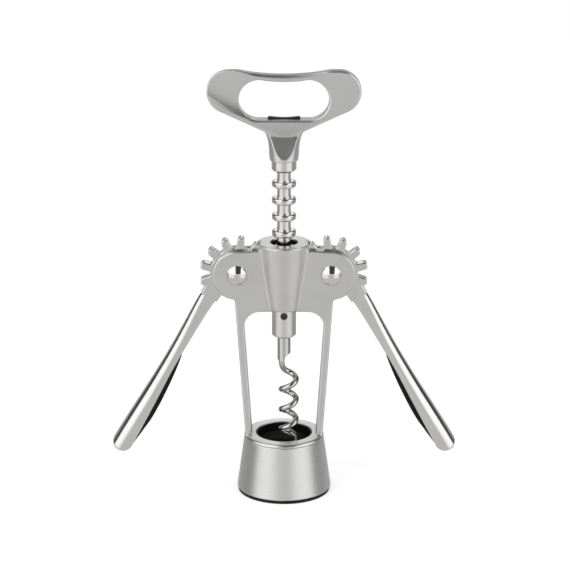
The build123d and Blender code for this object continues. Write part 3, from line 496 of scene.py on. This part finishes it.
floor_mesh = bpy.data.meshes.new("floor")
half = FLOOR_SIZE / 2
corners = [(-half, -half, 0), (half, -half, 0), (half, half, 0), (-half, half, 0)]
floor_mesh.from_pydata(corners, [], [(0, 1, 2, 3)])
floor = bpy.data.objects.new("floor", floor_mesh)
bpy.context.scene.collection.objects.link(floor)
paper, tree, shader = finish_named("white_paper", Roughness=FLOOR_ROUGHNESS, Specular_IOR_Level=0.0)
shader.inputs["Base Color"].default_value = linear(FLOOR_WHITE)
rays = add(tree, "ShaderNodeLightPath").outputs
glow = add(tree, "ShaderNodeEmission", {"Strength": FLOOR_GLOW})
lit = add(tree, "ShaderNodeAddShader", {0: shader, 1: glow})
seen = add(tree, "ShaderNodeMixShader", {0: rays["Is Camera Ray"], 1: shader, 2: lit})
clear = add(tree, "ShaderNodeBsdfTransparent")
mirrored = add(tree, "ShaderNodeMath", {
    0: rays["Is Glossy Ray"],
    1: rays["Is Transmission Ray"],
}, operation="MAXIMUM")
surface = tree.nodes["Material Output"].inputs["Surface"]
add(tree, "ShaderNodeMixShader", {0: mirrored, 1: seen, 2: clear}, {"Shader": surface})
floor_mesh.materials.append(paper)

# The card behind is low and narrow, so that it whitens the tops of the ring and the barrel, but neither
# the handle nor the teeth
CARD_DISTANCE = 0.22
CARD_HALF_WIDTH = 0.02
CARD_HEIGHT = 0.23

card_mesh = bpy.data.meshes.new("back_card")
card_mesh.from_pydata([
    (-CARD_HALF_WIDTH, CARD_DISTANCE, 0),
    (CARD_HALF_WIDTH, CARD_DISTANCE, 0),
    (CARD_HALF_WIDTH, CARD_DISTANCE, CARD_HEIGHT),
    (-CARD_HALF_WIDTH, CARD_DISTANCE, CARD_HEIGHT),
], [], [(0, 1, 2, 3)])
card = bpy.data.objects.new("back_card", card_mesh)
card.visible_camera = False
card.visible_diffuse = False
card.visible_shadow = False
bpy.context.scene.collection.objects.link(card)
card_paper, tree, _ = finish_named("white_card")
surface = tree.nodes["Material Output"].inputs["Surface"]
add(tree, "ShaderNodeEmission", {"Strength": 1.0}, {"Emission": surface})
card_mesh.materials.append(card_paper)

# Level of the studio by the direction from the front, in degrees to the right, below and above eye level
STUDIO_LOW = (
    (-180, 0.60), (-140, 0.42), (-110, 0.32), (-94, 0.27), (-84, 0.34), (-70, 0.95), (-52, 1.00),
    (-34, 0.96), (-14, 0.63), (0, 0.59), (14, 0.59), (34, 0.95), (52, 1.00), (70, 0.92), (84, 0.34),
    (94, 0.28), (110, 0.34), (140, 0.44), (180, 0.60),
)
STUDIO_HIGH = (
    (-180, 0.35), (-160, 0.50), (-144, 0.55), (-136, 0.05), (-104, 0.03), (-94, 1.30), (-40, 1.30),
    (40, 1.30), (94, 1.30), (104, 0.03), (136, 0.05), (144, 0.50), (160, 0.45), (180, 0.35),
)
STUDIO_FLOOR = "#CECBCA"
WHITE = (1, 1, 1, 1)
ROOM_LEVEL = 0.50
GAP_LEVEL = 0.06
GAP_MIDDLE = 0.15
GAP_HALF = 0.37
GAP_EDGE = 0.06
# Where each part of the studio begins and is whole, as parts of a ray of length 1
GAP_FOOT = (0.07, 0.17)
GAP_BACK = (0.25, 0.10)
HIGH_BAND = (0.02, 0.14)
FLOOR_BAND = (-0.34, -0.56)

world = bpy.data.worlds.new("studio")
bpy.context.scene.world = world
world.use_nodes = True
tree = world.node_tree
heading = add(tree, "ShaderNodeTexCoord").outputs["Generated"]
ray = add(tree, "ShaderNodeSeparateXYZ", {"Vector": heading}).outputs
toward = add(tree, "ShaderNodeMath", {0: ray["Y"], 1: -1.0}, operation="MULTIPLY")
bearing = add(tree, "ShaderNodeMath", {0: ray["X"], 1: toward}, operation="ARCTAN2")
turn = add(tree, "ShaderNodeMapRange", {"Value": bearing, "From Min": -math.pi, "From Max": math.pi})

bands = []
for levels in (STUDIO_LOW, STUDIO_HIGH):
    ramp = add(tree, "ShaderNodeValToRGB", {"Fac": turn})
    stops = ramp.color_ramp.elements
    for degrees, level in levels[1:-1]:
        stops.new((degrees + 180) / 360).color = (level, level, level, 1)
    stops[0].color = [levels[0][1]] * 3 + [1]
    stops[-1].color = [levels[-1][1]] * 3 + [1]
    bands.append(ramp)
low_band, high_band = bands

aside = add(tree, "ShaderNodeMath", {0: ray["X"], 1: GAP_MIDDLE}, operation="SUBTRACT")
aside = add(tree, "ShaderNodeMath", {0: aside}, operation="ABSOLUTE")
edges = []
for value, (start, end) in (
    (aside, (GAP_HALF + GAP_EDGE, GAP_HALF - GAP_EDGE)),
    (ray["Z"], GAP_FOOT),
    (ray["Y"], GAP_BACK),
    (ray["Z"], HIGH_BAND),
    (ray["Z"], FLOOR_BAND),
):
    limits = {"Value": value, "From Min": start, "From Max": end}
    edges.append(add(tree, "ShaderNodeMapRange", limits, interpolation_type="SMOOTHSTEP"))
gap_sides, gap_foot, gap_back, into_high, into_floor = edges
gap = add(tree, "ShaderNodeMath", {0: gap_sides, 1: gap_foot}, operation="MULTIPLY")
gap = add(tree, "ShaderNodeMath", {0: gap, 1: gap_back}, operation="MULTIPLY")

studio = low_band
for edge, beyond in (
    (into_high, high_band),
    (gap, [GAP_LEVEL] * 3 + [1]),
    (into_floor, linear(STUDIO_FLOOR)),
):
    mix = add(tree, "ShaderNodeMix", {"Factor": edge, COLOUR_A: studio, COLOUR_B: beyond}, data_type="RGBA")
    studio = mix.outputs[COLOUR_OUT]

rays = add(tree, "ShaderNodeLightPath").outputs
mirrored = add(tree, "ShaderNodeMath", {
    0: rays["Is Glossy Ray"],
    1: rays["Is Transmission Ray"],
}, operation="MAXIMUM")
room = add(tree, "ShaderNodeBackground", {"Color": WHITE, "Strength": ROOM_LEVEL})
reflected = add(tree, "ShaderNodeBackground", {"Color": studio, "Strength": 1.0})
white = add(tree, "ShaderNodeBackground", {"Color": WHITE, "Strength": 1.0})
indirect = add(tree, "ShaderNodeMixShader", {0: mirrored, 1: room, 2: reflected})
surface = tree.nodes["World Output"].inputs["Surface"]
add(tree, "ShaderNodeMixShader", {0: rays["Is Camera Ray"], 1: indirect, 2: white}, {"Shader": surface})

# Each lamp's place in metres, power in watts and width in metres
SOFTBOXES = (
    ("softbox_left", (-0.95, -0.95, 0.95), 4.5, 0.8),
    ("softbox_right", (0.95, -0.95, 0.85), 3.5, 0.8),
    ("softbox_top", (0, 0.1, 1.6), 3.0, 1.0),
)
for name, place, power, width in SOFTBOXES:
    lamp = bpy.data.lights.new(name, "AREA")
    lamp.energy = power
    lamp.size = width
    softbox = bpy.data.objects.new(name, lamp)
    softbox.location = place
    softbox.visible_glossy = False
    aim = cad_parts["frame_casting"].location - softbox.location
    softbox.rotation_euler = aim.to_track_quat("-Z", "Y").to_euler()
    bpy.context.scene.collection.objects.link(softbox)

# Camera
# It stands 1.2 m in front of the tool and looks down on it by 18 degrees.
# A small shift brings the tool to its place in the picture.
SENSOR_WIDTH_MM = 36.0
FOCAL_LENGTH_MM = 176.416
SHIFT_ACROSS = 0.00175
SHIFT_UP = 0.0041
CAMERA_PLACE = (0, -1.2, 0.48794)
LOOKING_DOWN = 18.045

lens = bpy.data.cameras.new("camera")
lens.sensor_width = SENSOR_WIDTH_MM
lens.lens = FOCAL_LENGTH_MM
lens.shift_x = SHIFT_ACROSS
lens.shift_y = SHIFT_UP
camera = bpy.data.objects.new("camera", lens)
camera.location = CAMERA_PLACE
camera.rotation_euler = (math.radians(90 - LOOKING_DOWN), 0, 0)
bpy.context.scene.collection.objects.link(camera)
bpy.context.scene.camera = camera
bpy.context.scene.view_settings.view_transform = "Standard"
